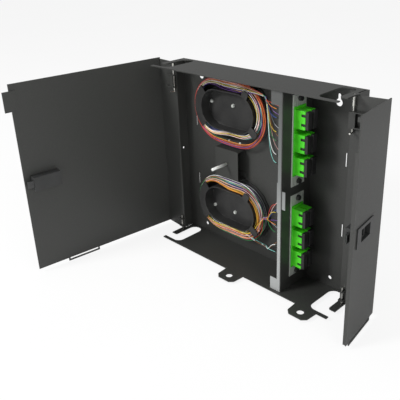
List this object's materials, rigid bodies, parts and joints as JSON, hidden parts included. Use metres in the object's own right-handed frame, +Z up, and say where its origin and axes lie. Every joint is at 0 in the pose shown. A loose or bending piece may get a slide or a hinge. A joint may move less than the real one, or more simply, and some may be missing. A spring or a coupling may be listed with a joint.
{
  "type": "fiber termination box",
  "caption": "Wall-mount fiber termination box: black folded-steel case, two open L-shaped doors, oval fiber spools with colored pigtails, green duplex adapters on a bulkhead.",
  "frame": {"origin": "centre of the back face, on the wall", "axes": "+Y into the wall, +Z up, +X to the right as seen from the front, so the doors are towards -Y"},
  "size_m": [0.4609, 0.2865, 0.3081],
  "materials": {
    "black_powder_coat": "fine-textured semi-matte black powder coat",
    "door_powder_coat": "fine-textured semi-matte black powder coat",
    "plated_steel": "bright zinc-plated steel",
    "zinc_hardware": "clear zinc plate",
    "spring_wire": "drawn spring wire",
    "latch_plastic": "moulded black nylon",
    "spool_plastic": "moulded black plastic",
    "apc_green": "moulded green plastic",
    "cap_rubber": "soft black elastomer",
    "plunger_plastic": "moulded black nylon",
    "pigtail_jacket": "colored tight-buffer fiber jackets"
  },
  "bodies": {
    "enclosure": {"enclosure_shell": "black_powder_coat", "bulkhead": "black_powder_coat", "standoff_bracket": "black_powder_coat", "bracket_stud": "plated_steel", "upper_adapter_plate": "plated_steel", "upper_plate_plunger_1": "plunger_plastic", "upper_plate_plunger_2": "plunger_plastic", "upper_adapter_1": "apc_green", "upper_adapter_2": "apc_green", "upper_adapter_3": "apc_green", "upper_adapter_4": "apc_green", "upper_adapter_5": "apc_green", "upper_adapter_6": "apc_green", "upper_dust_cap_1": "cap_rubber", "upper_dust_cap_2": "cap_rubber", "upper_dust_cap_3": "cap_rubber", "upper_dust_cap_4": "cap_rubber", "upper_dust_cap_5": "cap_rubber", "upper_dust_cap_6": "cap_rubber", "upper_fiber_spool": "spool_plastic", "upper_fiber_coil": "pigtail_jacket", "upper_spool_screw_1": "plated_steel", "upper_spool_screw_2": "plated_steel", "upper_pigtail_bundle": "pigtail_jacket", "lower_adapter_plate": "plated_steel", "lower_plate_plunger_1": "plunger_plastic", "lower_plate_plunger_2": "plunger_plastic", "lower_adapter_1": "apc_green", "lower_adapter_2": "apc_green", "lower_adapter_3": "apc_green", "lower_adapter_4": "apc_green", "lower_adapter_5": "apc_green", "lower_adapter_6": "apc_green", "lower_dust_cap_1": "cap_rubber", "lower_dust_cap_2": "cap_rubber", "lower_dust_cap_3": "cap_rubber", "lower_dust_cap_4": "cap_rubber", "lower_dust_cap_5": "cap_rubber", "lower_dust_cap_6": "cap_rubber", "lower_fiber_spool": "spool_plastic", "lower_fiber_coil": "pigtail_jacket", "lower_spool_screw_1": "plated_steel", "lower_spool_screw_2": "plated_steel", "lower_pigtail_bundle": "pigtail_jacket"},
    "left_door": {"left_door": "door_powder_coat", "left_hinge_bracket": "black_powder_coat", "left_hinge_pin_bottom": "zinc_hardware", "left_pin_spring": "spring_wire", "left_latch_housing": "latch_plastic", "left_latch_spring": "spring_wire"},
    "left_latch_slider": {"left_latch_slider": "latch_plastic"},
    "left_hinge_pin": {"left_hinge_pin_top": "zinc_hardware"},
    "right_door": {"right_door": "door_powder_coat", "right_hinge_bracket": "black_powder_coat", "right_hinge_pin_bottom": "zinc_hardware", "right_pin_spring": "spring_wire", "right_latch_housing": "latch_plastic", "right_latch_spring": "spring_wire"},
    "right_latch_slider": {"right_latch_slider": "latch_plastic"},
    "right_hinge_pin": {"right_hinge_pin_top": "zinc_hardware"}
  },
  "joints": [
    {"name": "left_door_hinge", "type": "hinge", "parent": "enclosure", "child": "left_door", "pos_m": [-0.1675, -0.0275, 0], "axis": [0, 0, -1], "range_deg": [-95.83, 10]},
    {"name": "left_latch_slide", "type": "slide", "parent": "left_door", "child": "left_latch_slider", "axis": [-0.1016, -0.9948, 0], "range_m": [-0.008, 0], "stiffness_N_per_m": 250, "springref_m": 0.005, "deforming": ["left_latch_spring"]},
    {"name": "left_pin_slide", "type": "slide", "parent": "left_door", "child": "left_hinge_pin", "axis": [0, 0, 1], "range_m": [-0.006, 0], "stiffness_N_per_m": 400, "springref_m": 0.005, "deforming": ["left_pin_spring"]},
    {"name": "right_door_hinge", "type": "hinge", "parent": "enclosure", "child": "right_door", "pos_m": [0.1675, -0.0275, 0], "axis": [0, 0, 1], "range_deg": [-98, 8]},
    {"name": "right_latch_slide", "type": "slide", "parent": "right_door", "child": "right_latch_slider", "axis": [0.1392, -0.9903, 0], "range_m": [-0.008, 0], "stiffness_N_per_m": 250, "springref_m": 0.005, "deforming": ["right_latch_spring"]},
    {"name": "right_pin_slide", "type": "slide", "parent": "right_door", "child": "right_hinge_pin", "axis": [0, 0, 1], "range_m": [-0.006, 0], "stiffness_N_per_m": 400, "springref_m": 0.005, "deforming": ["right_pin_spring"]}
  ]
}
